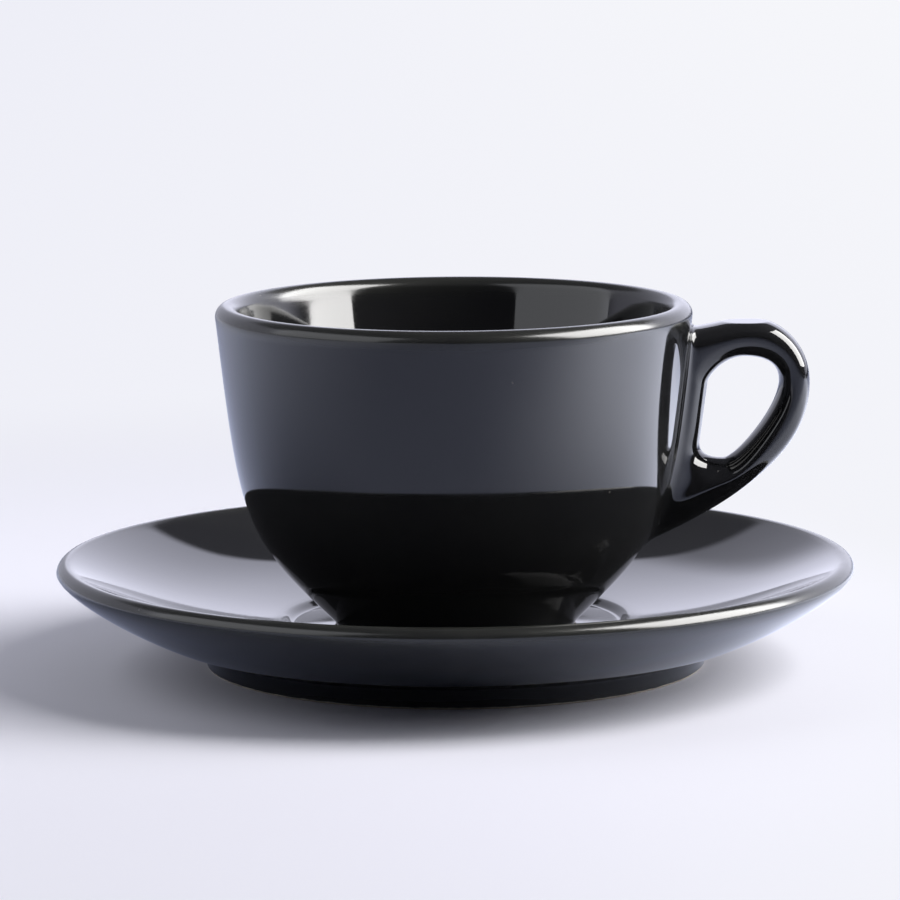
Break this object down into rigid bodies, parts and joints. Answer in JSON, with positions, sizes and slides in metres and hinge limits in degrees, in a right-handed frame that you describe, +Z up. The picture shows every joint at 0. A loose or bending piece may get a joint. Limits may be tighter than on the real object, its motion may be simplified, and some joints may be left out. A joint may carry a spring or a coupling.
{
  "type": "cappuccino cup with saucer",
  "caption": "Round-bellied coffee cup with a closed ear handle, standing loose in the well of a round footed saucer; the cup lifts off.",
  "frame": {"origin": "on the table, on the common axis of saucer and cup", "axes": "+Z up along that axis, +X towards the handle"},
  "size_m": [0.15, 0.15, 0.0681],
  "materials": {
    "saucer_glaze": "gloss black glaze over pale stoneware, thinner and olive at the rim, bare on the foot ring",
    "cup_glaze": "gloss black glaze over pale stoneware, thinner and olive at the lip, bare on the foot ring"
  },
  "bodies": {
    "saucer": {"saucer": "saucer_glaze"},
    "cup": {"cup_body": "cup_glaze", "cup_handle": "cup_glaze"}
  },
  "joints": [
    {"name": "cup_lift", "type": "slide", "parent": "saucer", "child": "cup", "axis": [0, 0, 1], "range_m": [0, 0.1]}
  ]
}
